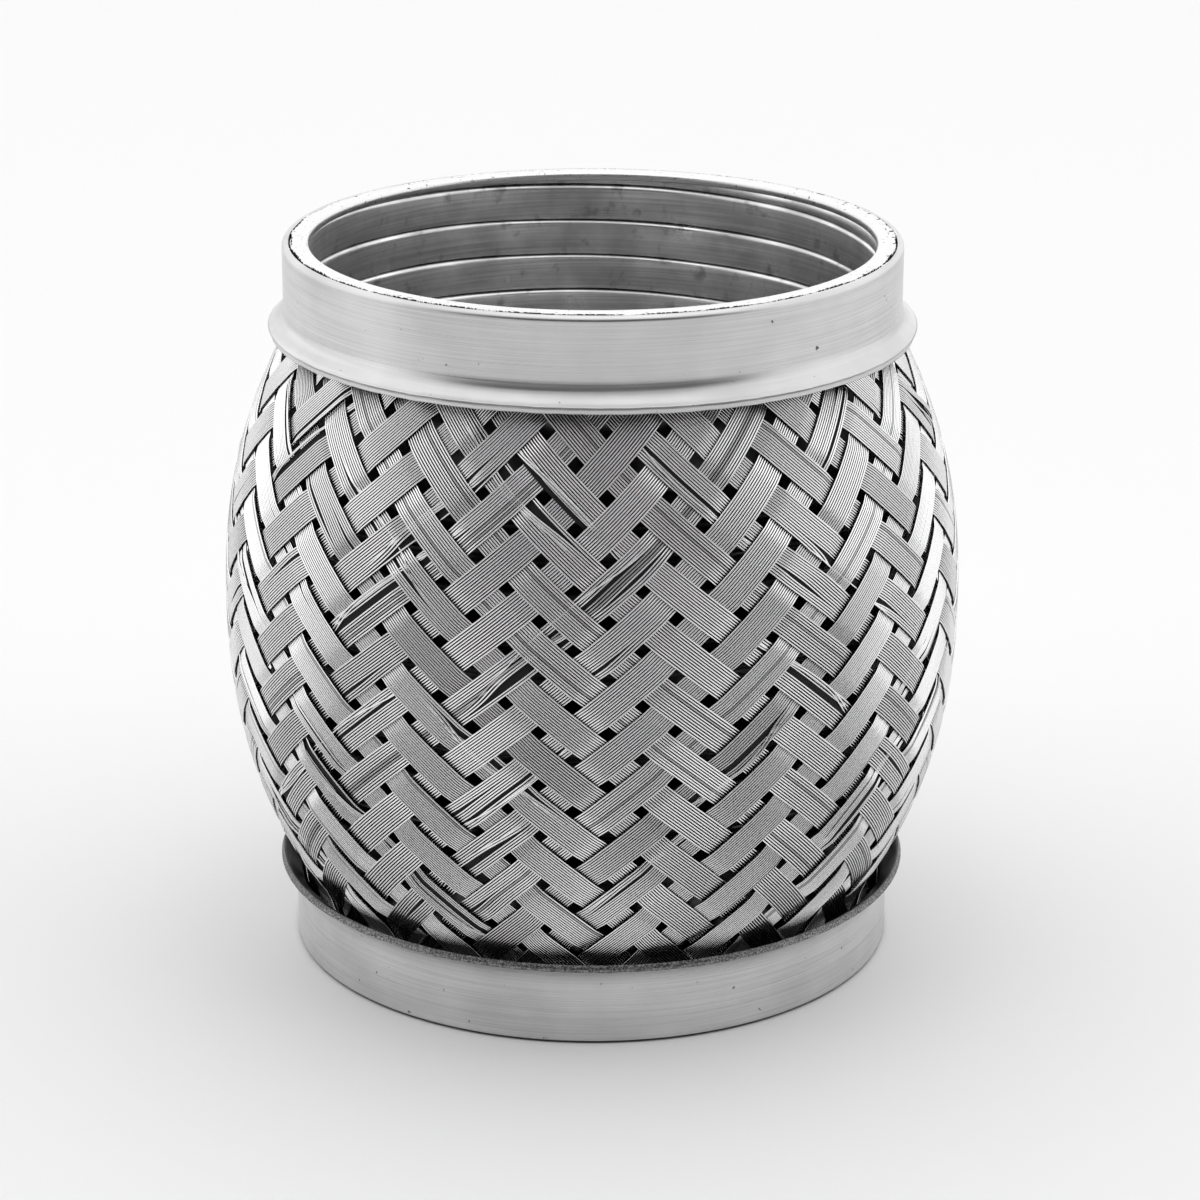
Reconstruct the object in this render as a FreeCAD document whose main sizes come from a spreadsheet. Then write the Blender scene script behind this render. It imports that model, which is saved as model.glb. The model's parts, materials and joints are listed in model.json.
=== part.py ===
import FreeCAD, Part
import math
import os
import Sketcher

# Metal bellows expansion joint: two pressed steel end caps clamp a woven wire
# braid, a two-ply bellows and an interlocked strip liner.
# Millimetres. +Z is the flow axis and the origin is the centre of the lower end face.

DIMENSIONS = (
    ("overall_length", 100.0),
    ("bore_radius", 38.4),
    # interlocked strip liner
    ("strip_sheet", 0.3),
    ("strip_pitch", 5.2),
    ("strip_slot", 0.3),
    ("strip_overlap", 3.0),
    ("strip_clearance", 0.12),
    # two-ply bellows
    ("ply_sheet", 0.2),
    ("convolution_height", 5.2),
    ("convolution_pitch", 5.4),
    ("crest_clearance", 0.3),
    # wire braid
    ("braid_wire", 0.4),
    ("braid_bulge", 9.88),
    ("braid_free_length", 77.0),
    # pressed end caps
    ("cap_sheet", 0.95),
    ("cap_straight", 8.2),
    ("flare_out", 2.1),
    ("flare_rise", 3.15),
    # fits between layers
    ("layer_gap", 0.05),
    ("end_recess", 0.4),
)

SHEET = "Dimensions"

doc = FreeCAD.newDocument("BellowsExpansionJoint")
sheet = doc.addObject("Spreadsheet::Sheet", SHEET)
for row, (alias, number) in enumerate(DIMENSIONS, start=1):
    sheet.set("A%d" % row, alias)
    sheet.set("B%d" % row, str(number))
    sheet.setAlias("B%d" % row, alias)
doc.recompute()


class Size:
    """A length that knows its value and the spreadsheet expression behind it."""

    def __init__(self, value, text):
        self.value = float(value)
        self.text = text

    def joined(self, sign, other, value):
        text = other.text if isinstance(other, Size) else repr(float(other))
        return Size(value, "(%s %s %s)" % (self.text, sign, text))

    def __add__(self, other):
        return self.joined("+", other, self.value + number_of(other))

    def __sub__(self, other):
        return self.joined("-", other, self.value - number_of(other))

    def __mul__(self, other):
        return self.joined("*", other, self.value * number_of(other))

    def __truediv__(self, other):
        return self.joined("/", other, self.value / number_of(other))


def number_of(item):
    return item.value if isinstance(item, Size) else float(item)


def size(alias):
    return Size(getattr(sheet, alias), "%s.%s" % (SHEET, alias))


def square_root(item):
    return Size(math.sqrt(item.value), "sqrt(%s)" % item.text)


def whole_part(item):
    return Size(math.floor(item.value), "floor(%s)" % item.text)


def origin_plane(body, role):
    return next(item for item in body.Origin.OriginFeatures if item.Role == role)


def segment(start, end, bend):
    """A line, or an arc of radius |bend|: positive turns left, negative turns right."""
    first = FreeCAD.Vector(start[0].value, start[1].value, 0)
    last = FreeCAD.Vector(end[0].value, end[1].value, 0)
    if bend is None:
        return Part.LineSegment(first, last)
    radius, side = bend
    chord = last - first
    across = FreeCAD.Vector(-chord.y, chord.x, 0).normalize() * side
    rise = math.sqrt(max(radius.value ** 2 - chord.Length ** 2 / 4, 0.0))
    centre = (first + last) * 0.5 + across * rise
    circle = Part.Circle(centre, FreeCAD.Vector(0, 0, 1), radius.value)
    angles = [math.atan2(point.y - centre.y, point.x - centre.x) for point in (first, last)]
    if side < 0:
        angles.reverse()
    if angles[1] < angles[0]:
        angles[1] += 2 * math.pi
    return Part.ArcOfCircle(circle, angles[0], angles[1])


def bind(sketch, kind, target, length):
    """Adds one measured constraint and ties it to its spreadsheet expression."""
    index = sketch.addConstraint(Sketcher.Constraint(kind, *target, length.value))
    sketch.setExpression("Constraints[%d]" % index, length.text)


def outline_sketch(body, name, corners):
    """A closed outline in the XZ plane: corners are (radius, height, bend to the next)."""
    sketch = body.newObject("Sketcher::SketchObject", name)
    sketch.AttachmentSupport = [(origin_plane(body, "XZ_Plane"), "")]
    sketch.MapMode = "FlatFace"
    starts = []
    ends = []
    for index, corner in enumerate(corners):
        following = corners[(index + 1) % len(corners)]
        bend = corner[2]
        sketch.addGeometry(segment(corner, following, bend), False)
        flipped = bend is not None and bend[1] < 0
        starts.append(2 if flipped else 1)
        ends.append(1 if flipped else 2)
    for index, corner in enumerate(corners):
        following = (index + 1) % len(corners)
        join = Sketcher.Constraint("Coincident", index, ends[index], following, starts[following])
        sketch.addConstraint(join)
        bind(sketch, "DistanceX", (-1, 1, index, starts[index]), corner[0])
        if abs(corner[1].value) < 1e-9:
            sketch.addConstraint(Sketcher.Constraint("PointOnObject", index, starts[index], -1))
        else:
            bind(sketch, "DistanceY", (-1, 1, index, starts[index]), corner[1])
        if corner[2] is not None:
            bind(sketch, "Radius", (index,), corner[2][0])
    return sketch


def turned_feature(body, name, corners):
    """Revolves an outline about the flow axis inside the body."""
    sketch = outline_sketch(body, name + "_outline", corners)
    turned = body.newObject("PartDesign::Revolution", name)
    turned.Profile = sketch
    turned.ReferenceAxis = (sketch, ["V_Axis"])
    turned.Angle = 360.0
    sketch.Visibility = False
    body.Tip = turned
    return turned, sketch


def new_body(name):
    body = doc.addObject("PartDesign::Body", name)
    body.Label = name
    return body


overall_length = size("overall_length")
bore_radius = size("bore_radius")
strip_sheet = size("strip_sheet")
strip_pitch = size("strip_pitch")
strip_slot = size("strip_slot")
strip_overlap = size("strip_overlap")
strip_clearance = size("strip_clearance")
ply_sheet = size("ply_sheet")
convolution_height = size("convolution_height")
convolution_pitch = size("convolution_pitch")
crest_clearance = size("crest_clearance")
braid_wire = size("braid_wire")
braid_bulge = size("braid_bulge")
braid_free_length = size("braid_free_length")
cap_sheet = size("cap_sheet")
cap_straight = size("cap_straight")
flare_out = size("flare_out")
flare_rise = size("flare_rise")
layer_gap = size("layer_gap")
end_recess = size("end_recess")
ZERO = Size(0.0, "0.0")

# Each turn's inner leg fills its pitch but for the slot that lets the liner move.
strip_face = strip_pitch - strip_slot

# Radii of the clamped stack, from the bore outward.
strip_hook_top = bore_radius + strip_sheet * 2.5
strip_outer_inside = strip_hook_top + strip_clearance
strip_outside = strip_outer_inside + strip_sheet
strip_hook_tip = bore_radius + strip_sheet + strip_clearance
inner_ply_inside = strip_outside + layer_gap
inner_ply_outside = inner_ply_inside + ply_sheet
outer_ply_inside = inner_ply_outside + layer_gap
outer_ply_outside = outer_ply_inside + ply_sheet
braid_clamped_inside = outer_ply_outside + layer_gap
braid_thickness = braid_wire * 2
braid_clamped_outside = braid_clamped_inside + braid_thickness
cap_inside = braid_clamped_outside + layer_gap
cap_outside = cap_inside + cap_sheet

# The braid bulges along one arc between its clamped ends.
half_free = braid_free_length / 2
bulge_radius = (half_free * half_free + braid_bulge * braid_bulge) / (braid_bulge * 2)

# As many convolutions as fit under the braid's arc.
ply_step = ply_sheet + layer_gap
crest_bend_outside = convolution_pitch / 4 + ply_step + ply_sheet / 2
outer_crest = inner_ply_outside + convolution_height + ply_step
arc_drop = braid_clamped_inside + braid_bulge - outer_crest - crest_clearance
half_room = square_root((bulge_radius * 2 - arc_drop) * arc_drop)
crest_room = (half_room - crest_bend_outside) * 2
convolution_count = whole_part(crest_room / convolution_pitch + 1)

# As many whole strip turns as fit between the rims.
liner_length = overall_length - end_recess * 2
liner_turns = whole_part((liner_length - strip_face - strip_overlap) / strip_pitch + 1)
nodes = []


def make_end_cap(name, upside_down):
    """A pressed cap: a straight skirt that flares outward over the braid."""
    flare_radius = (flare_out * flare_out + flare_rise * flare_rise) / (flare_out * 2)
    back_radius = flare_radius + cap_sheet
    back_out = cap_outside + flare_radius - back_radius * (flare_radius - flare_out) / flare_radius
    back_rise = cap_straight + back_radius * flare_rise / flare_radius
    body = new_body(name)
    corners = [
        (cap_inside, ZERO, None),
        (cap_outside, ZERO, None),
        (cap_outside, cap_straight, (flare_radius, -1)),
        (cap_outside + flare_out, cap_straight + flare_rise, None),
        (back_out, back_rise, (back_radius, 1)),
        (cap_inside, cap_straight, None),
    ]
    turned_feature(body, name + "_shell", corners)
    if upside_down:
        body.Placement.Rotation = FreeCAD.Rotation(FreeCAD.Vector(1, 0, 0), 180)
        body.setExpression(".Placement.Base.z", overall_length.text)
    nodes.append(body)


def make_ply(name, inside, outward_shift):
    """One ply: straight cuffs at both ends and a row of U-shaped convolutions.

    The plies nest: moving outward by outward_shift widens the crest bends and
    tightens the root bends by the same amount.
    """
    outside = inside + ply_sheet
    crest_outside = outside + convolution_height
    half = ply_sheet / 2
    bend = convolution_pitch / 4
    crest_out = bend + outward_shift + half
    crest_in = bend + outward_shift - half
    root_out = bend - outward_shift - half
    root_in = bend - outward_shift + half
    first = (overall_length - convolution_pitch * convolution_count) / 2
    last = first + convolution_pitch
    middle = first + convolution_pitch / 2
    crest_inside = crest_outside - ply_sheet
    body = new_body(name)
    convolution = [
        (inside, first, (root_in, -1)),
        (inside + root_in, first + root_in, None),
        (crest_inside - crest_in, middle - crest_in, (crest_in, 1)),
        (crest_inside, middle, (crest_in, 1)),
        (crest_inside - crest_in, middle + crest_in, None),
        (inside + root_in, last - root_in, (root_in, -1)),
        (inside, last, None),
        (outside, last, (root_out, 1)),
        (outside + root_out, last - root_out, None),
        (crest_outside - crest_out, middle + crest_out, (crest_out, -1)),
        (crest_outside, middle, (crest_out, -1)),
        (crest_outside - crest_out, middle - crest_out, None),
        (outside + root_out, first + root_out, (root_out, 1)),
        (outside, first, None),
    ]
    turned, sketch = turned_feature(body, name + "_convolution", convolution)
    row = body.newObject("PartDesign::LinearPattern", name + "_row")
    row.Originals = [turned]
    row.Direction = (sketch, ["V_Axis"])
    row.Mode = "Spacing"
    row.setExpression("Offset", convolution_pitch.text)
    row.setExpression("Occurrences", convolution_count.text)
    body.Tip = row
    cuffs = (
        ("lower", end_recess, first),
        ("upper", overall_length - first, overall_length - end_recess),
    )
    for end, low, high in cuffs:
        cuff = [
            (inside, low, None),
            (outside, low, None),
            (outside, high, None),
            (inside, high, None),
        ]
        turned_feature(body, "%s_%s_cuff" % (name, end), cuff)
    nodes.append(body)


def make_braid_sleeve(name):
    """The woven wire sleeve: clamped straight at both ends and bulging between them."""
    low_clamp = (overall_length - braid_free_length) / 2
    high_clamp = overall_length - low_clamp
    low_end = end_recess
    high_end = overall_length - end_recess
    body = new_body(name)
    corners = [
        (braid_clamped_inside, low_end, None),
        (braid_clamped_outside, low_end, None),
        (braid_clamped_outside, low_clamp, (bulge_radius, 1)),
        (braid_clamped_outside, high_clamp, None),
        (braid_clamped_outside, high_end, None),
        (braid_clamped_inside, high_end, None),
        (braid_clamped_inside, high_clamp, (bulge_radius, -1)),
        (braid_clamped_inside, low_clamp, None),
    ]
    turned_feature(body, name + "_weave", corners)
    nodes.append(body)


def place_turn(body, turn):
    start = end_recess + strip_pitch * turn
    body.setExpression(".Placement.Base.z", start.text)
    nodes.append(body)


def make_liner_turn(turn):
    """One turn of the folded strip: its outer leg hooks over the next turn's inner leg."""
    body = new_body("liner_turn_%02d" % (turn + 1))
    leg_end = strip_face + strip_overlap
    corners = [
        (bore_radius, ZERO, None),
        (strip_hook_top, ZERO, None),
        (strip_hook_top, strip_sheet, None),
        (bore_radius + strip_sheet, strip_sheet, None),
        (bore_radius + strip_sheet, strip_face - strip_sheet, None),
        (strip_outside, strip_face - strip_sheet, None),
        (strip_outside, leg_end, None),
        (strip_hook_tip, leg_end, None),
        (strip_hook_tip, leg_end - strip_sheet, None),
        (strip_outer_inside, leg_end - strip_sheet, None),
        (strip_outer_inside, strip_face, None),
        (bore_radius, strip_face, None),
    ]
    turned_feature(body, body.Name + "_strip", corners)
    place_turn(body, turn)


def make_last_turn(turn):
    """The strip's cut end: an inner leg and hook with nothing left to hold."""
    body = new_body("liner_turn_%02d" % (turn + 1))
    height = liner_length - strip_pitch * turn
    corners = [
        (bore_radius, ZERO, None),
        (strip_hook_top, ZERO, None),
        (strip_hook_top, strip_sheet, None),
        (bore_radius + strip_sheet, strip_sheet, None),
        (bore_radius + strip_sheet, height, None),
        (bore_radius, height, None),
    ]
    turned_feature(body, body.Name + "_strip", corners)
    place_turn(body, turn)


make_end_cap("lower_end_cap", False)
make_end_cap("upper_end_cap", True)
make_ply("bellows_inner_ply", inner_ply_inside, ZERO)
make_ply("bellows_outer_ply", outer_ply_inside, ply_step)
make_braid_sleeve("braid_sleeve")
full_turns = int(liner_turns.value)
for turn in range(full_turns):
    make_liner_turn(turn)
make_last_turn(full_turns)

doc.recompute()
for item in doc.Objects:
    if {"Invalid", "Error"} & set(item.State):
        raise RuntimeError("%s did not build: %s" % (item.Name, item.State))
for item in nodes:
    if item.Shape.isNull() or not item.Shape.isValid() or len(item.Shape.Solids) != 1:
        raise RuntimeError("%s is not one valid solid" % item.Label)
os.makedirs("parts", exist_ok=True)
for item in nodes:
    item.Shape.exportStep("parts/%s.step" % item.Label)
    print(item.Label, round(item.Shape.Volume, 2))
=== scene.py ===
import json
import math

import bpy
import numpy as np
from mathutils import Matrix, Vector


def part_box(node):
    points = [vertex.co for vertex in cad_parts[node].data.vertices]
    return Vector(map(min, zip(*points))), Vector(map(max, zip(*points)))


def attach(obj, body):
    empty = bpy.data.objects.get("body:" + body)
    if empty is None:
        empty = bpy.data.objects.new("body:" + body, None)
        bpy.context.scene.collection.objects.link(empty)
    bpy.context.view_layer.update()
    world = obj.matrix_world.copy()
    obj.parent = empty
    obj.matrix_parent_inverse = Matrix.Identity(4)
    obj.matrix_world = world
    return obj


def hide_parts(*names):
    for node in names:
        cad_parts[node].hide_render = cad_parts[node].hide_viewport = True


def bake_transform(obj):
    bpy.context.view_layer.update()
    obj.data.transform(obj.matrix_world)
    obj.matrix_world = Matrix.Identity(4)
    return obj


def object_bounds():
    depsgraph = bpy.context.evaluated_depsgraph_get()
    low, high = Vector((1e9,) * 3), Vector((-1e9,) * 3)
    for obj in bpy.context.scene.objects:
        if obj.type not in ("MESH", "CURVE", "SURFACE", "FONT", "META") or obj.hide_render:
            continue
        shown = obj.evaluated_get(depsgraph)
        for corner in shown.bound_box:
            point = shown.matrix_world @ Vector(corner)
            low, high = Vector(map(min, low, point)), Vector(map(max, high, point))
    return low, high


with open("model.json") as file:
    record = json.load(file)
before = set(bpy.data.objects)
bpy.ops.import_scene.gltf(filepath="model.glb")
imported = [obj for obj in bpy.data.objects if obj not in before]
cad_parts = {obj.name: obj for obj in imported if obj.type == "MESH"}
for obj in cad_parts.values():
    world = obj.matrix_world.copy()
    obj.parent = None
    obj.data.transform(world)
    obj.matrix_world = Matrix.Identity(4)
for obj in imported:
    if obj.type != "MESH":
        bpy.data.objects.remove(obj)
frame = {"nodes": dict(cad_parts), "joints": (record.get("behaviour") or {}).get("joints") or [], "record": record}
cad_low, cad_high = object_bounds()

MM = 0.001
TURN = 2 * math.pi
record = frame["record"]
mounts = {mount["name"]: mount for mount in record["mounts"]}

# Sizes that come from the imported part.
HEIGHT = cad_high.z - cad_low.z
MIDDLE = HEIGHT / 2
BORE = mounts["lower_bore"]["dims"]["r_mm"] * MM
CAP_OUTSIDE = mounts["lower_cap_outside"]["dims"]["r_mm"] * MM
SKIRT = mounts["lower_cap_outside"]["dims"]["length_mm"] * MM
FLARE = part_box("lower_end_cap")[1].x
LIP_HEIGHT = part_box("lower_end_cap")[1].z
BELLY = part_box("braid_sleeve")[1].x
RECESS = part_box("braid_sleeve")[0].z
OUTER_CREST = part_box("bellows_outer_ply")[1].x
INNER_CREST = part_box("bellows_inner_ply")[1].x
STRIP_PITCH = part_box("liner_turn_02")[0].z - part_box("liner_turn_01")[0].z
STRIP_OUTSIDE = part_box("liner_turn_01")[1].x

# Sizes of the layers, as in the part's own dimensions.
CAP_SHEET = 0.95 * MM
LAYER_GAP = 0.05 * MM
PLY_SHEET = 0.2 * MM
STRIP_SHEET = 0.3 * MM
STRIP_SLOT = 0.1 * MM
STRIP_OVERLAP = 3.0 * MM
STRIP_HOOK = 0.75 * MM
CONVOLUTION_PITCH = 5.4 * MM
CONVOLUTIONS = 10
CAP_INSIDE = CAP_OUTSIDE - CAP_SHEET
FREE_HALF = 38.5 * MM

# The weave: bands of wires each way round, two over and two under.
BANDS = 36
BAND_WIRES = 12
BAND_STEP = TURN / BANDS
BAND_COVER = 0.75
WIRE = 0.275 * MM
WIRE_SIDES = 5
LAYER_LIFT = 0.2 * MM
BRAID_CLAMPED = CAP_INSIDE - LAYER_GAP - 0.4 * MM
BRAID_BELLY = BELLY - 0.4 * MM
BULGE_POWER = 2.3
BELLY_ANGLE = math.radians(50.0)
CAP_MOUTH_SOFTEN = 0.4 * MM
FRONT = math.radians(-90.0)
RIGHT_START = FRONT + math.radians(0.75)
LEFT_START = FRONT + math.radians(4.1)
CAP_STATIONS = 5
ZONE_STATIONS = 33
SPLIT_BANDS = 26
STRAY_GROUPS = 30
STRAY_LIFT = 0.28 * MM
SWAY = 0.2
SWAY_LENGTH = 9 * MM
SQUEEZE = 0.02
SQUEEZE_LENGTH = 6 * MM
WIRE_OFF_SIDE = 0.012
WIRE_OFF_LEVEL = 0.004

# How finely the round parts are cut up.
CAP_STEPS = 480
RIM_STEPS = 1440
RIM_RADII = 66
PLY_STEPS = 120
LINER_STEPS = 144
LINER_TURNS = 23

# How many points of the lower cap's section, from its inside edge, get painted shade as a contact shadow.
SHADED_FOOT_POINTS = 7

# The studio's light: a white tent with a darker opening at the front.
TENT_LIGHT = 1.02
OPENING_LIGHT = 0.03
SEEN_LIGHT = 0.84

random = np.random.default_rng(76)


# ---------------------------------------------------------------- mesh helpers


def quad_mesh(name, points, quads, materials, picks=None):
    """A smooth mesh object from an array of points and an array of four-sided faces."""
    mesh = bpy.data.meshes.new(name)
    mesh.vertices.add(len(points))
    mesh.vertices.foreach_set("co", np.ascontiguousarray(points, np.float32).ravel())
    mesh.loops.add(quads.size)
    mesh.loops.foreach_set("vertex_index", np.ascontiguousarray(quads, np.int32).ravel())
    mesh.polygons.add(len(quads))
    mesh.polygons.foreach_set("loop_start", np.arange(0, quads.size, 4, dtype=np.int32))
    for material in materials:
        mesh.materials.append(material)
    if picks is not None:
        mesh.polygons.foreach_set("material_index", np.ascontiguousarray(picks, np.int32))
    mesh.polygons.foreach_set("use_smooth", np.ones(len(quads), bool))
    mesh.update(calc_edges=True)
    mesh.validate()
    piece = bpy.data.objects.new(name, mesh)
    bpy.context.scene.collection.objects.link(piece)
    return piece


def grid_quads(rows, columns, close_rows, close_columns):
    """Faces of a grid of points, row by row, closed either way round."""
    row = np.arange(rows if close_rows else rows - 1)
    column = np.arange(columns if close_columns else columns - 1)
    row, column = (side.ravel() for side in np.meshgrid(row, column, indexing="ij"))
    next_row = (row + 1) % rows
    next_column = (column + 1) % columns
    corners = (
        row * columns + column,
        row * columns + next_column,
        next_row * columns + next_column,
        next_row * columns + column,
    )
    return np.stack(corners, axis=1)


def around(radius, azimuth, height):
    """Points from polar places: arrays of the same shape, in metres and radians."""
    return np.stack([radius * np.cos(azimuth), radius * np.sin(azimuth), height], axis=-1)


def arc_points(centre, radius, start, end, steps):
    """Points of an arc in the radius-height plane, with angles in degrees."""
    angles = np.radians(np.linspace(start, end, steps))
    return [(centre[0] + radius * math.cos(a), centre[1] + radius * math.sin(a)) for a in angles]


def ripple(azimuth, waves, seed):
    """A wandering value between about -1 and 1 that closes on itself round the axis."""
    dice = np.random.default_rng(seed)
    total = np.zeros_like(azimuth)
    for wave in waves:
        total = total + dice.normal() * np.sin(wave * azimuth + dice.uniform(0, TURN))
    return total / math.sqrt(len(waves))


def turned(name, outline, steps, materials):
    """A closed outline of (radius, height) points turned about the flow axis."""
    outline = np.array(outline)
    azimuth = np.linspace(0, TURN, steps, endpoint=False)
    radius = np.repeat(outline[None, :, 0], steps, axis=0)
    height = np.repeat(outline[None, :, 1], steps, axis=0)
    points = around(radius, azimuth[:, None] + 0 * radius, height)
    quads = grid_quads(steps, len(outline), True, True)
    return quad_mesh(name, points.reshape(-1, 3), quads, materials)


# ---------------------------------------------------------------- materials


class Shader:
    """A Principled material under construction, with short calls for its nodes."""

    def __init__(self, name, colour, roughness, metallic=1.0):
        self.material = bpy.data.materials.new(name)
        self.material.use_nodes = True
        self.tree = self.material.node_tree
        self.surface = self.tree.nodes["Principled BSDF"]
        self.surface.inputs["Base Color"].default_value = (*colour, 1)
        self.surface.inputs["Roughness"].default_value = roughness
        self.surface.inputs["Metallic"].default_value = metallic

    def node(self, kind, **settings):
        made = self.tree.nodes.new(kind)
        for key, value in settings.items():
            setattr(made, key, value)
        return made

    def feed(self, value, socket):
        if isinstance(value, (int, float, tuple)):
            socket.default_value = value
        else:
            self.tree.links.new(value, socket)

    def math(self, operation, first, second=0.0):
        made = self.node("ShaderNodeMath", operation=operation)
        self.feed(first, made.inputs[0])
        self.feed(second, made.inputs[1])
        return made.outputs[0]

    def cylinder(self):
        """The object's own place in three parts, and the distance from the flow axis."""
        place = self.node("ShaderNodeTexCoord").outputs["Object"]
        parts = self.node("ShaderNodeSeparateXYZ")
        self.feed(place, parts.inputs[0])
        across = self.math("MULTIPLY", parts.outputs[0], parts.outputs[0])
        along = self.math("MULTIPLY", parts.outputs[1], parts.outputs[1])
        radius = self.math("SQRT", self.math("ADD", across, along))
        return parts, radius

    def streaks(self, slow, fast):
        """Noise drawn out round the axis: slow along the circle, fast across it."""
        parts, radius = self.cylinder()
        joined = self.node("ShaderNodeCombineXYZ")
        self.feed(self.math("MULTIPLY", parts.outputs[0], slow), joined.inputs[0])
        self.feed(self.math("MULTIPLY", parts.outputs[1], slow), joined.inputs[1])
        across = self.math("ADD", parts.outputs[2], radius)
        self.feed(self.math("MULTIPLY", across, fast), joined.inputs[2])
        noise = self.node("ShaderNodeTexNoise")
        self.feed(joined.outputs[0], noise.inputs["Vector"])
        noise.inputs["Scale"].default_value = 1.0
        noise.inputs["Detail"].default_value = 3.0
        return noise.outputs["Fac"]

    def clouds(self, scale, detail=4.0):
        place = self.node("ShaderNodeTexCoord").outputs["Object"]
        noise = self.node("ShaderNodeTexNoise")
        self.feed(place, noise.inputs["Vector"])
        noise.inputs["Scale"].default_value = scale
        noise.inputs["Detail"].default_value = detail
        return noise.outputs["Fac"]

    def spread(self, value, low, high, start=0.0, end=1.0):
        """Stretches a value from low..high onto start..end and holds it there."""
        made = self.node("ShaderNodeMapRange")
        for place, number in enumerate((low, high, start, end), start=1):
            made.inputs[place].default_value = number
        self.feed(value, made.inputs[0])
        return made.outputs[0]

    def mix(self, amount, first, second):
        made = self.node("ShaderNodeMix", data_type="RGBA")
        self.feed(amount, made.inputs[0])
        self.feed(first, made.inputs[6])
        self.feed(second, made.inputs[7])
        return made.outputs[2]

    def blend(self, first, first_share, second, second_share):
        """Two varying values added in the given shares."""
        first = self.math("MULTIPLY", first, first_share)
        return self.math("ADD", first, self.math("MULTIPLY", second, second_share))

    def grey_of(self, value):
        """A grey colour from one varying value."""
        tint = self.node("ShaderNodeCombineColor")
        for socket in tint.inputs:
            self.feed(value, socket)
        return tint.outputs[0]

    def bump(self, value, depth, strength):
        made = self.node("ShaderNodeBump")
        made.inputs["Distance"].default_value = depth
        made.inputs["Strength"].default_value = strength
        self.feed(value, made.inputs["Height"])
        self.feed(made.outputs["Normal"], self.surface.inputs["Normal"])


def grey(value):
    return (value, value, value * 1.005)


def cap_steel():
    shader = Shader("cap_brushed_steel", grey(0.62), 0.3)
    lines = shader.streaks(30.0, 5200.0)
    patches = shader.clouds(60.0)
    specks = shader.spread(shader.clouds(900.0, 2.0), 0.74, 0.78)
    worn = shader.blend(patches, 0.5, lines, 0.5)
    shade = shader.spread(worn, 0.38, 0.62, 0.54, 0.72)
    colour = shader.mix(specks, shader.grey_of(shade), (0.16, 0.16, 0.16, 1))
    shader.feed(colour, shader.surface.inputs["Base Color"])
    rough = shader.spread(lines, 0.3, 0.7, 0.26, 0.42)
    shader.feed(rough, shader.surface.inputs["Roughness"])
    shader.bump(lines, 0.00002, 0.4)
    return shader.material


def cut_steel():
    shader = Shader("cap_cut_edge", grey(0.3), 0.5)
    grain = shader.clouds(4200.0, 2.0)
    shade = shader.spread(grain, 0.4, 0.62, 0.1, 0.34)
    shader.feed(shader.grey_of(shade), shader.surface.inputs["Base Color"])
    shader.bump(grain, 0.00002, 0.5)
    return shader.material


def ground_steel():
    shader = Shader("rim_ground_steel", grey(0.78), 0.34)
    lines = shader.streaks(700.0, 2600.0)
    grain = shader.clouds(4200.0, 3.0)
    pits = shader.spread(shader.clouds(1500.0, 2.0), 0.66, 0.72)
    colour = shader.mix(pits, (0.8, 0.8, 0.8, 1), (0.12, 0.12, 0.12, 1))
    shader.feed(colour, shader.surface.inputs["Base Color"])
    shader.feed(shader.spread(grain, 0.3, 0.7, 0.26, 0.5), shader.surface.inputs["Roughness"])
    shader.bump(shader.math("ADD", lines, grain), 0.00003, 0.5)
    return shader.material


def liner_steel():
    shader = Shader("liner_rolled_steel", grey(0.7), 0.36)
    lines = shader.streaks(45.0, 3000.0)
    stains = shader.clouds(110.0, 6.0)
    spots = shader.spread(shader.clouds(330.0, 3.0), 0.6, 0.72)
    worn = shader.blend(stains, 0.65, lines, 0.35)
    shade = shader.spread(worn, 0.38, 0.62, 0.58, 1.0)
    half = shader.math("MULTIPLY", spots, 0.45)
    colour = shader.mix(half, shader.grey_of(shade), (0.1, 0.1, 0.1, 1))
    shader.feed(colour, shader.surface.inputs["Base Color"])
    rough = shader.spread(stains, 0.3, 0.7, 0.42, 0.24)
    shader.feed(rough, shader.surface.inputs["Roughness"])
    shader.bump(lines, 0.00002, 0.4)
    return shader.material


def plain_steel(name, shade, roughness):
    return Shader(name, grey(shade), roughness).material


CAP_STEEL = cap_steel()
RIM_STEEL = ground_steel()
LINER_STEEL = liner_steel()
# The plies' dark grey is painted shade, for the gaps between the braid's bands.
BELLOWS_SHADE_STEEL = plain_steel("bellows_rolled_steel", 0.22, 0.4)
CUT_STEEL = cut_steel()
# Dark steel for the caps' inner faces and the lower foot: painted shade.
CAP_SHADE_STEEL = plain_steel("cap_inside_steel", 0.1, 0.5)
# Near-black for the rim's cracks: painted shade.
SEAM_SHADE = Shader("seam_dirt", (0.012, 0.012, 0.012), 0.8, 0.0).material
WIRE_STEELS = [
    plain_steel("wire_bright", 0.9, 0.12),
    plain_steel("wire_clean", 0.85, 0.14),
    plain_steel("wire_dull", 0.76, 0.17),
    plain_steel("wire_dark", 0.5, 0.24),
    # The last is painted shade, for the film between the wires.
    Shader("between_wires", (0.015, 0.015, 0.015), 0.8, 0.0).material,
]

# ---------------------------------------------------------------- bending zones

pivots = [joint["pos_m"][2] for joint in frame["joints"] if joint["type"] == "hinge"]
reach = (pivots[1] - pivots[0]) / 2
EDGES = [
    pivots[0] - reach,
    pivots[0] + reach,
    pivots[1] + reach,
    pivots[2] - reach,
    pivots[3] - reach,
    pivots[3] + reach,
]
ZONES = len(EDGES) - 1


def bend_with(piece):
    """Bakes the piece's placement into its mesh."""
    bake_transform(piece)


# ---------------------------------------------------------------- braid


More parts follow.
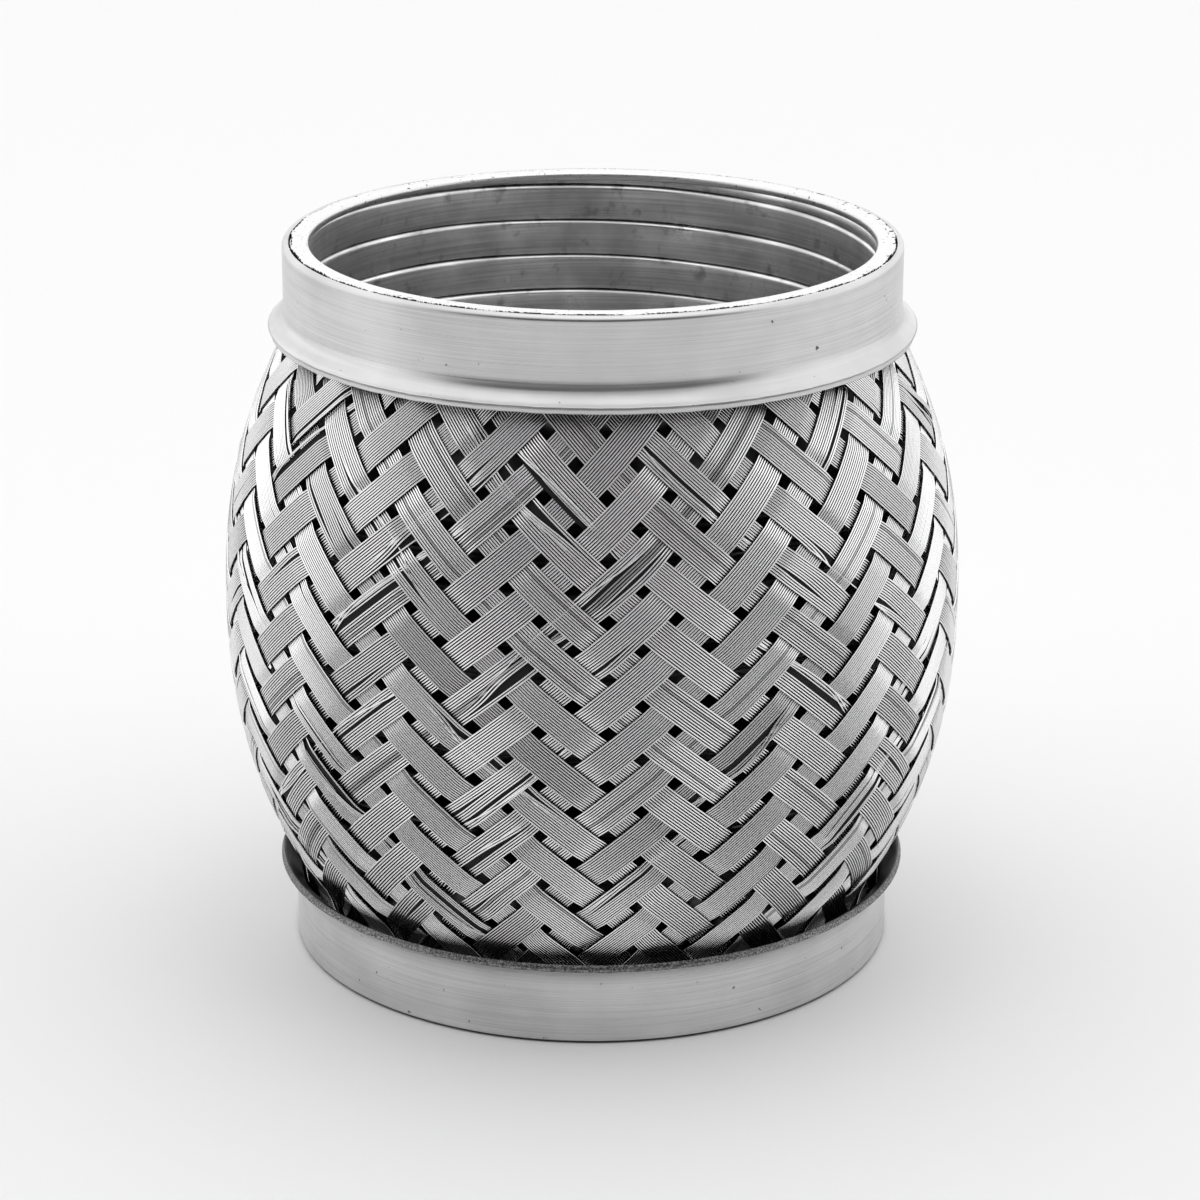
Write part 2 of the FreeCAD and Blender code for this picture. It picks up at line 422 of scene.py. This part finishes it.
def braid_radius(height):
    """Radius of the middle of the braid: straight in the caps, bulging between them."""
    share = np.abs(height - MIDDLE) / FREE_HALF
    bulge = BRAID_BELLY - BRAID_CLAMPED
    rise = bulge - bulge * share**BULGE_POWER
    return BRAID_CLAMPED + (rise + np.sqrt(rise**2 + CAP_MOUTH_SOFTEN**2)) / 2


# A woven band keeps its wires' length per turn, so its angle follows the radius.
fine_heights = np.linspace(0, HEIGHT, 2001)
fine_radii = braid_radius(fine_heights)
fine_slopes = np.gradient(fine_radii, fine_heights)
lead = math.sin(BELLY_ANGLE) / BRAID_BELLY
turn_rate = lead * np.sqrt(1 + fine_slopes**2) / np.sqrt(1 - (lead * fine_radii) ** 2)
steps = (turn_rate[1:] + turn_rate[:-1]) / 2 * np.diff(fine_heights)
fine_twist = np.concatenate([[0], np.cumsum(steps)])
fine_twist -= np.interp(MIDDLE, fine_heights, fine_twist)


def weave_height(place):
    """+1 over and -1 under, two crossings each, with the change made in the gaps."""
    place = (place + 1.5) % 4 - 1
    inside = 1 - np.abs(place - 1)
    flat = np.sin(np.clip(inside / 0.24, -1, 1) * math.pi / 2)
    return flat + 0.12 * np.clip(inside, -0.5, 1)


def bump_along(heights, centre, reach):
    """A smooth hump along the length."""
    return np.exp(-(((heights - centre) / reach) ** 2))


def plateau(heights, centre, reach):
    """A smooth rise and fall with a level stretch between them."""
    soft = 2.2 * MM
    rise = np.tanh((heights - centre + reach) / soft)
    return (rise - np.tanh((heights - centre - reach) / soft)) / 2


def braid_heights():
    """Places along the axis where wires are shaped, closest where they show."""
    straight = 8 * MM
    runs = [np.linspace(RECESS, straight, 3), np.linspace(straight, EDGES[0], CAP_STATIONS)]
    for low, high in zip(EDGES[:-1], EDGES[1:]):
        runs.append(np.linspace(low, high, ZONE_STATIONS))
    runs.append(np.linspace(EDGES[-1], HEIGHT - straight, CAP_STATIONS))
    runs.append(np.linspace(HEIGHT - straight, HEIGHT - RECESS, 3))
    return np.unique(np.round(np.concatenate(runs), 9))


def wire_paths(hand, heights):
    """Centre lines of one hand's wires, with the surface's outward direction."""
    radius = np.interp(heights, fine_heights, fine_radii)
    slope = np.interp(heights, fine_heights, fine_slopes)
    twist = np.interp(heights, fine_heights, fine_twist)
    wire_step = BAND_STEP * BAND_COVER / BAND_WIRES
    band = np.repeat(np.arange(BANDS), BAND_WIRES)
    order = np.tile(np.arange(BAND_WIRES), BANDS) - (BAND_WIRES - 1) / 2
    count = len(band)
    sideways = np.zeros((count, len(heights)))
    raised = np.zeros((count, len(heights)))
    # Bands wander a little, and each wire lies a little off its place.
    for number in range(BANDS):
        sway = random.normal(0, SWAY) * np.sin(heights / SWAY_LENGTH + random.uniform(0, TURN))
        squeeze = 1 + SQUEEZE * np.sin(heights / SQUEEZE_LENGTH + random.uniform(0, TURN))
        rows = band == number
        sideways[rows] += sway + order[rows][:, None] * (squeeze - 1)
    sideways += random.normal(0, WIRE_OFF_SIDE, (count, 1))
    raised += random.normal(0, WIRE_OFF_LEVEL, (count, 1)) * MM
    # Here and there a band splits open, or loose wires cross their own band.
    for _ in range(SPLIT_BANDS):
        number = random.integers(BANDS)
        cut = random.uniform(-4, 4)
        hump = bump_along(heights, random.uniform(16, 84) * MM, random.uniform(2, 4) * MM)
        rows = band == number
        push = np.where(order[rows] > cut, 0.6, -0.4)
        sideways[rows] += push[:, None] * hump
    settled = sideways.copy()
    for _ in range(STRAY_GROUPS):
        number = random.integers(BANDS)
        first = random.integers(0, BAND_WIRES - 2)
        shift = random.choice([-1, 1]) * random.uniform(1.5, 5)
        hump = plateau(heights, random.uniform(16, 84) * MM, random.uniform(3, 6) * MM)
        for wire in range(first, first + random.integers(1, 4)):
            row = number * BAND_WIRES + min(wire, BAND_WIRES - 1)
            room = (BAND_WIRES - 1) / 2 + 0.5
            moved = np.clip(order[row] + shift * hump, -room, room) - order[row]
            sideways[row] += moved
            raised[row] += STRAY_LIFT * hump

    def laid(shift, above):
        """Places and outward directions of lines beside the band's middle."""
        offset = (order[:, None] + shift) * wire_step
        if hand > 0:
            azimuth = RIGHT_START + band[:, None] * BAND_STEP + offset + twist
            crossing = (azimuth - LEFT_START + twist) / BAND_STEP
            level = weave_height(band[:, None] + crossing)
        else:
            azimuth = LEFT_START + band[:, None] * BAND_STEP + offset - twist
            crossing = (azimuth - RIGHT_START - twist) / BAND_STEP
            level = -weave_height(band[:, None] + crossing)
        lift = LAYER_LIFT * level + above
        tilt = np.sqrt(1 + slope**2)
        centre_height = heights - lift * slope / tilt
        points = around(radius + lift / tilt, azimuth, centre_height + 0 * azimuth)
        outward = np.stack(
            [np.cos(azimuth) / tilt, np.sin(azimuth) / tilt, -slope / tilt + 0 * azimuth], axis=-1
        )
        return points, outward

    points, outward = laid(sideways, raised)
    # A sheet a little beneath the wires, to carry the painted shade.
    shade_film, _ = laid(settled, -0.25 * WIRE)
    return points, outward, shade_film


def wire_tubes(points, outward):
    """Rings of points round each wire's centre line."""
    along = np.gradient(points, axis=1)
    along /= np.linalg.norm(along, axis=-1, keepdims=True)
    outward = outward - along * np.sum(outward * along, axis=-1, keepdims=True)
    outward /= np.linalg.norm(outward, axis=-1, keepdims=True)
    beside = np.cross(along, outward)
    angles = np.arange(WIRE_SIDES) * TURN / WIRE_SIDES
    cosine = np.cos(angles)[None, None, :, None]
    sine = np.sin(angles)[None, None, :, None]
    ring = outward[:, :, None] * cosine + beside[:, :, None] * sine
    return points[:, :, None] + ring * WIRE / 2


def build_braid(hand, name):
    heights = braid_heights()
    points, outward, shade_film = wire_paths(hand, heights)
    rings = wire_tubes(points, outward)
    finish = np.repeat(random.choice(3, BANDS, p=[0.3, 0.45, 0.25]), BAND_WIRES)
    odd = random.random(len(rings)) < 0.03
    finish[odd] = 3
    for zone in range(ZONES):
        low = 0 if zone == 0 else np.argmin(np.abs(heights - EDGES[zone]))
        high = len(heights) - 1
        if zone < ZONES - 1:
            high = np.argmin(np.abs(heights - EDGES[zone + 1]))
        part = rings[:, low : high + 1]
        wires, stations = part.shape[:2]
        one = grid_quads(stations, WIRE_SIDES, False, True)
        starts = np.arange(wires) * stations * WIRE_SIDES
        quads = (one[None] + starts[:, None, None]).reshape(-1, 4)
        picks = np.repeat(finish, len(one))
        # A near-black film joins the wires of each band: painted shade between them.
        between = shade_film[:, low : high + 1]
        sheet = grid_quads(BAND_WIRES, stations, False, False)
        firsts = part[..., 0].size + np.arange(BANDS) * BAND_WIRES * stations
        sheets = (sheet[None] + firsts[:, None, None]).reshape(-1, 4)
        points = np.concatenate([part.reshape(-1, 3), between.reshape(-1, 3)])
        quads = np.concatenate([quads, sheets])
        picks = np.concatenate([picks, np.full(len(sheets), len(WIRE_STEELS) - 1)])
        piece = quad_mesh("%s_%d" % (name, zone + 1), points, quads, WIRE_STEELS, picks)
        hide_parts("braid_sleeve")
        bend_with(piece)


build_braid(1, "braid_right_hand_wires")
build_braid(-1, "braid_left_hand_wires")

# ---------------------------------------------------------------- bellows


def convolution_line(cuff, crest, shift, low, high):
    """The middle line of a ply between two heights: cuffs and rounded convolutions."""
    first = MIDDLE - CONVOLUTION_PITCH * CONVOLUTIONS / 2
    heights = np.linspace(low, high, int((high - low) / (0.27 * MM)) + 1)
    phase = (heights - first) / CONVOLUTION_PITCH * TURN
    wave = 0.5 - 0.5 * np.cos(phase)
    sharp = 1.6 + shift
    rounded = 0.5 + 0.5 * np.tanh(sharp * (wave * 2 - 1)) / math.tanh(sharp)
    inside = (heights > first) & (heights < HEIGHT - first)
    return heights, cuff + (crest - cuff) * np.where(inside, rounded, 0)


def build_ply(name, cuff, crest, shift):
    for zone in range(ZONES):
        low = RECESS if zone == 0 else EDGES[zone]
        high = HEIGHT - RECESS if zone == ZONES - 1 else EDGES[zone + 1]
        heights, radii = convolution_line(cuff, crest, shift, low, high)
        outer = list(zip(radii + PLY_SHEET / 2, heights))
        inner = list(zip(radii - PLY_SHEET / 2, heights))
        piece = turned("%s_%d" % (name, zone + 1), outer + inner[::-1], PLY_STEPS, [BELLOWS_SHADE_STEEL])
        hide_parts(name)
        bend_with(piece)


inner_cuff = STRIP_OUTSIDE + LAYER_GAP + PLY_SHEET / 2
outer_cuff = inner_cuff + PLY_SHEET + LAYER_GAP
build_ply("bellows_inner_ply", inner_cuff, INNER_CREST - PLY_SHEET / 2, 0.0)
build_ply("bellows_outer_ply", outer_cuff, OUTER_CREST - PLY_SHEET / 2, -0.1)

# ---------------------------------------------------------------- liner


def rounded_line(corners, radii, steps):
    """A line through corners in the radius-height plane, with each corner rounded."""
    line = [np.array(corners[0])]
    for before, corner, after, radius in zip(corners, corners[1:], corners[2:], radii):
        corner = np.array(corner)
        back = np.array(before) - corner
        ahead = np.array(after) - corner
        back /= np.linalg.norm(back)
        ahead /= np.linalg.norm(ahead)
        for share in np.linspace(0, 1, steps):
            # A quarter circle between two runs that meet square.
            angle = share * math.pi / 2
            behind = back * radius * (1 - math.sin(angle))
            line.append(corner + behind + ahead * radius * (1 - math.cos(angle)))
    line.append(np.array(corners[-1]))
    return np.array(line)


def sheet_outline(line, thickness):
    """Both faces of a thin sheet that follows a line."""
    along = np.gradient(line, axis=0)
    along /= np.linalg.norm(along, axis=1, keepdims=True)
    across = np.stack([along[:, 1], -along[:, 0]], axis=1) * thickness / 2
    return np.concatenate([line + across, (line - across)[::-1]])


def build_liner():
    """One strip wound as a helix; each turn hooks over the next."""
    half = STRIP_SHEET / 2
    face = STRIP_PITCH - STRIP_SLOT
    outer = STRIP_OUTSIDE - half
    corners = [
        (BORE + STRIP_HOOK, half),
        (BORE + half, half),
        (BORE + half, face - half),
        (outer, face - half),
        (outer, face + STRIP_OVERLAP - half),
        (BORE + STRIP_SHEET + 0.12 * MM, face + STRIP_OVERLAP - half),
    ]
    bends = [0.12 * MM, 0.66 * MM, 0.18 * MM, 0.3 * MM]
    outline = sheet_outline(rounded_line(corners, bends, 7), STRIP_SHEET)
    # The strip's upper fold stands at this height at the back of the bore.
    fold_at_back = 98.1 * MM
    per_turn = LINER_STEPS
    base = fold_at_back - face + half - STRIP_PITCH * (LINER_TURNS - 2)
    stations = np.arange(per_turn * LINER_TURNS)
    azimuth = math.pi / 2 + stations * TURN / per_turn
    start = base + stations * STRIP_PITCH / per_turn
    radius = np.repeat(outline[None, :, 0], len(stations), axis=0)
    height = outline[None, :, 1] + start[:, None]
    wobble = 0.04 * MM * np.sin(azimuth * 3.7) + 0.03 * MM * np.sin(azimuth * 9.1 + 1)
    height = np.clip(height + wobble[:, None], RECESS / 2, HEIGHT - RECESS / 2)
    middle = start + STRIP_PITCH / 2
    points = around(radius, azimuth[:, None] + 0 * radius, height)
    width = outline.shape[0]
    liner_nodes = sorted(node for node in frame["nodes"] if node.startswith("liner_turn"))
    for zone in range(ZONES):
        low = middle.min() if zone == 0 else EDGES[zone]
        high = middle.max() if zone == ZONES - 1 else EDGES[zone + 1]
        rows = np.nonzero((middle >= low) & (middle <= high + STRIP_PITCH / per_turn))[0]
        part = points[rows[0] : rows[-1] + 1]
        quads = grid_quads(len(part), width, False, True)
        flat = part.reshape(-1, 3)
        tall = np.ptp(flat[quads][:, :, 2], axis=1)
        wide = np.ptp(np.hypot(flat[quads][:, :, 0], flat[quads][:, :, 1]), axis=1)
        quads = quads[(tall > 1e-7) | (wide > 1e-6)]
        used, quads = np.unique(quads, return_inverse=True)
        quads = quads.reshape(-1, 4)
        piece = quad_mesh("liner_strip_%d" % (zone + 1), flat[used], quads, [LINER_STEEL])
        if zone == 0:
            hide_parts(*liner_nodes)
        bend_with(piece)


build_liner()

# ---------------------------------------------------------------- end caps


def cap_outline():
    """The lower cap's section: rounded rim, straight skirt and outward flare."""
    rise = 3.15 * MM
    out = FLARE - CAP_OUTSIDE
    bend = (out**2 + rise**2) / (2 * out)
    sweep = math.degrees(math.asin(rise / bend))
    centre = (CAP_OUTSIDE + bend, SKIRT)
    round_edge = 0.7 * MM
    burr = 0.18 * MM
    points = [(CAP_INSIDE, 0.2 * MM), (CAP_INSIDE + 0.1 * MM, 0.03 * MM)]
    points += arc_points((CAP_OUTSIDE - round_edge, round_edge), round_edge, -90, 0, 8)
    points += [(CAP_OUTSIDE, level) for level in np.linspace(1 * MM, SKIRT - 0.3 * MM, 8)]
    points += arc_points(centre, bend, 180, 180 - sweep, 16)
    outer_end = np.array(points[-1])
    inner = arc_points(centre, bend + CAP_SHEET, 180 - sweep, 180, 16)
    edge = np.array(inner[0]) - outer_end
    edge /= np.linalg.norm(edge)
    ahead = np.array([-edge[1], edge[0]])
    edge_starts = len(points) - 1
    points += [tuple(outer_end + edge * burr * 0.3 + ahead * burr * 0.4)]
    points += [tuple(outer_end + edge * CAP_SHEET * 0.5 + ahead * burr * 0.5)]
    points += [tuple(np.array(inner[0]) - edge * burr * 0.3 + ahead * burr * 0.4)]
    inside_starts = len(points)
    points += inner
    points += [(CAP_INSIDE, level) for level in np.linspace(SKIRT - 0.5 * MM, 1 * MM, 5)]
    return np.array(points), edge_starts, inside_starts


def build_cap(name, upside_down, seed):
    outline, edge_starts, inside_starts = cap_outline()
    steps = CAP_STEPS
    azimuth = np.linspace(0, TURN, steps, endpoint=False)
    radius = np.repeat(outline[None, :, 0], steps, axis=0)
    height = np.repeat(outline[None, :, 1], steps, axis=0)
    # The pressed lip is a little wavy and its cut edge is rough.
    lip = np.clip((height - SKIRT) / (LIP_HEIGHT - SKIRT), 0, 1) ** 2
    wave = ripple(azimuth, [2, 3, 5, 7], seed)[:, None]
    rough = ripple(azimuth, [31, 47, 68, 91, 130, 170], seed + 1)[:, None]
    height = height + lip * (0.07 * MM * wave + 0.025 * MM * rough)
    radius = radius + lip * 0.03 * MM * ripple(azimuth, [3, 4, 9], seed + 2)[:, None]
    if upside_down:
        height = HEIGHT - height
    points = around(radius, azimuth[:, None] + 0 * radius, height)
    quads = grid_quads(steps, len(outline), True, True)
    if upside_down:
        quads = quads[:, ::-1]
    finish = np.zeros(len(outline), np.int32)
    # The inner faces of the lip and skirt get painted shade.
    finish[inside_starts:] = 2
    if not upside_down:
        # The lower ring's cut lip is rough, and its foot gets a painted contact shadow where it meets the floor.
        finish[edge_starts:inside_starts] = 1
        finish[:SHADED_FOOT_POINTS] = 2
    picks = np.tile(finish, steps)
    materials = [CAP_STEEL, CUT_STEEL, CAP_SHADE_STEEL]
    piece = quad_mesh(name + "_shell", points.reshape(-1, 3), quads, materials, picks)
    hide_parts(name)
    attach(piece, "upper_end" if upside_down else "lower_end")


def lobe(azimuth, centre, width):
    """A smooth rise round one azimuth, both in degrees."""
    away = np.angle(np.exp(1j * (azimuth - math.radians(centre))))
    return np.exp(-((away / math.radians(width)) ** 2))


def rim_depth(azimuth, radius, seed):
    """How deep the ground rim is cut by the cracks between the clamped layers."""
    seam = CAP_INSIDE + 0.05 * MM * ripple(azimuth, [5, 9, 17, 33, 61, 118], seed)
    gape = 0.17 + 0.34 * lobe(azimuth, -140, 55)
    gape = gape + 0.28 * lobe(azimuth, -80, 38) + 0.12 * lobe(azimuth, -20, 25)
    broken = 0.7 + 0.55 * ripple(azimuth, [7, 13, 29, 53, 97, 151, 233], seed + 1)
    half_width = np.clip(gape * broken, 0, 0.46) * MM
    crack = np.clip((half_width - np.abs(radius - seam)) / (0.04 * MM), 0, 1)
    inner = CAP_INSIDE - 0.9 * MM + 0.03 * MM * ripple(azimuth, [4, 11, 23], seed + 2)
    scratch = np.clip(ripple(azimuth, [3, 8, 19, 41, 87], seed + 3), 0, 1.4) * 0.04 * MM
    line = np.clip((scratch - np.abs(radius - inner)) / (0.04 * MM), 0, 1)
    # The crushed bands show as short blocks between the two lines, most of all on one side.
    place = azimuth / TURN * BANDS * 2 + 0.3 * ripple(azimuth, [2, 5, 9], seed + 4)
    beside = np.abs(place - np.round(place)) * BAND_STEP / 2 * CAP_INSIDE
    show = lobe(azimuth, 10, 40) + 0.4 * lobe(azimuth, 130, 25)
    slit = np.clip((show * 0.12 * MM - beside) / (0.06 * MM), 0, 1)
    slit = slit * ((radius > inner + 0.3 * MM) & (radius < seam))
    return 0.5 * MM * np.maximum(np.maximum(crack, line * 0.5), slit)


def build_rim(name, body, upside_down, seed):
    """The ground face across the ends of all the layers, inside the cap's rounded edge."""
    steps = RIM_STEPS
    azimuth = np.linspace(0, TURN, steps, endpoint=False)[:, None]
    radii = np.linspace(BORE - 0.02 * MM, CAP_OUTSIDE - 0.66 * MM, RIM_RADII)[None, :]
    depth = rim_depth(azimuth + 0 * radii, radii + 0 * azimuth, seed)
    inner_round = np.clip((BORE + 0.25 * MM - radii) / (0.25 * MM), 0, 1) ** 2 * 0.2 * MM
    top = HEIGHT - 0.005 * MM - depth - inner_round
    floor = np.full((steps, 1), HEIGHT - 1.1 * MM)
    height = np.concatenate([floor, top, floor], axis=1)
    radius = np.concatenate([radii[:, :1], radii, radii[:, -1:]], axis=1) + 0 * height
    if not upside_down:
        height = HEIGHT - height
    points = around(radius, azimuth + 0 * radius, height)
    quads = grid_quads(steps, radius.shape[1], True, True)
    if upside_down:
        quads = quads[:, ::-1]
    # Faces sunk more than 0.1 mm get the near-black painted shade.
    sunk = np.concatenate([0 * floor, depth, 0 * floor], axis=1).ravel()
    picks = (sunk[quads].mean(axis=1) > 0.1 * MM).astype(np.int32)
    piece = quad_mesh(name, points.reshape(-1, 3), quads, [RIM_STEEL, SEAM_SHADE], picks)
    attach(piece, body)


build_cap("lower_end_cap", False, 11)
build_cap("upper_end_cap", True, 21)
build_rim("lower_rim_face", "lower_end", False, 31)
build_rim("upper_rim_face", "upper_end", True, 41)

# ---------------------------------------------------------------- studio


def build_floor():
    """A wide pale floor."""
    half = 4.0
    points = np.array([(-half, -half, 0), (half, -half, 0), (half, half, 0), (-half, half, 0)])
    shader = Shader("floor_paper", (0.86, 0.86, 0.86), 0.75, 0.0)
    floor = quad_mesh("floor", points, np.array([[0, 1, 2, 3]]), [shader.material])


def area_light(name, place, target, width, height, power):
    light = bpy.data.lights.new(name, "AREA")
    light.shape = "RECTANGLE"
    light.size = width
    light.size_y = height
    light.energy = power
    lamp = bpy.data.objects.new(name, light)
    bpy.context.scene.collection.objects.link(lamp)
    lamp.location = place
    aim = Vector(target) - Vector(place)
    lamp.rotation_euler = aim.to_track_quat("-Z", "Y").to_euler()


def build_world():
    """A white tent round the object that is open, and so darker, towards the front."""
    world = bpy.data.worlds.new("studio")
    bpy.context.scene.world = world
    world.use_nodes = True
    tree = world.node_tree
    background = tree.nodes["Background"]
    background.inputs["Color"].default_value = (1, 1, 1, 1)

    def node(kind, **settings):
        made = tree.nodes.new(kind)
        for key, value in settings.items():
            setattr(made, key, value)
        return made

    def ranged(socket, low, high, start, end):
        made = node("ShaderNodeMapRange", interpolation_type="SMOOTHSTEP")
        for place, number in enumerate((low, high, start, end), start=1):
            made.inputs[place].default_value = number
        tree.links.new(socket, made.inputs[0])
        return made.outputs[0]

    direction = node("ShaderNodeSeparateXYZ")
    tree.links.new(node("ShaderNodeTexCoord").outputs["Generated"], direction.inputs[0])
    forward = ranged(direction.outputs[1], -0.85, -0.2, 1.0, 0.0)
    low = ranged(direction.outputs[2], 0.45, 0.85, 1.0, 0.0)
    opening = node("ShaderNodeMath", operation="MULTIPLY")
    tree.links.new(forward, opening.inputs[0])
    tree.links.new(low, opening.inputs[1])
    strength = ranged(opening.outputs[0], 0.0, 1.0, TENT_LIGHT, OPENING_LIGHT)
    seen = node("ShaderNodeMix")
    seen.inputs["B"].default_value = SEEN_LIGHT
    tree.links.new(node("ShaderNodeLightPath").outputs["Is Camera Ray"], seen.inputs["Factor"])
    tree.links.new(strength, seen.inputs["A"])
    tree.links.new(seen.outputs["Result"], background.inputs["Strength"])


def build_camera():
    """The camera stands in front, looking down at about 19 degrees."""
    elevation = math.radians(19.3)
    roll = math.radians(0.18)
    distance = 526.9 * MM
    target = Vector((1.1 * MM, 0, 48.0 * MM))
    data = bpy.data.cameras.new("camera")
    data.sensor_width = 36
    data.lens = 113.3
    data.clip_start = 0.01
    camera = bpy.data.objects.new("camera", data)
    bpy.context.scene.collection.objects.link(camera)
    look = Vector((0, math.cos(elevation), -math.sin(elevation)))
    turn = look.to_track_quat("-Z", "Y").to_matrix().to_4x4()
    stand = Matrix.Translation(target - look * distance)
    camera.matrix_world = stand @ turn @ Matrix.Rotation(roll, 4, "Z")
    bpy.context.scene.camera = camera


build_floor()
build_world()
area_light("top_softbox", (0, 0.05, 0.95), (0, 0, 0.05), 0.8, 0.8, 0.4)
build_camera()
bpy.context.scene.view_settings.view_transform = "Standard"
bpy.context.scene.view_settings.look = "Medium High Contrast"
